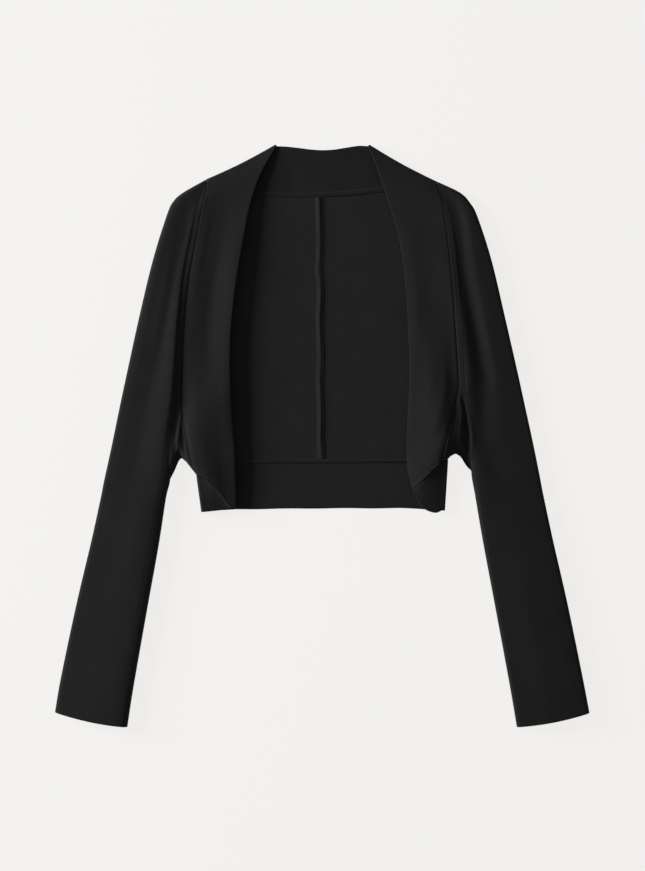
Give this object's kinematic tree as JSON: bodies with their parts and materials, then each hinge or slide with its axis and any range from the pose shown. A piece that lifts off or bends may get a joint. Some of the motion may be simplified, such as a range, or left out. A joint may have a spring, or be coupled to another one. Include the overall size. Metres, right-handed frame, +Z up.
{
  "type": "knitted shrug",
  "caption": "Long-sleeved cropped knitted shrug laid flat, with an open front, a wide front and neck band, a ribbed back and a ribbed hem band.",
  "frame": {"origin": "centre of the overall box in X and Y, on the surface the garment lies on", "axes": "+X across the garment to the wearer's left sleeve, +Y from the cuffs to the neck edge, +Z up from the surface, out of the front"},
  "size_m": [0.6304, 0.6859, 0.0186],
  "materials": {
    "fine_knit": "black fine-gauge jersey knit, matt with a faint sheen",
    "rib_knit": "black fine 1x1 rib knit, matt"
  },
  "bodies": {
    "root": {"back_left_panel": "rib_knit", "back_right_panel": "rib_knit", "front_and_neck_band": "fine_knit", "hem_band": "rib_knit", "left_sleeve": "fine_knit", "right_sleeve": "fine_knit"}
  },
  "joints": []
}
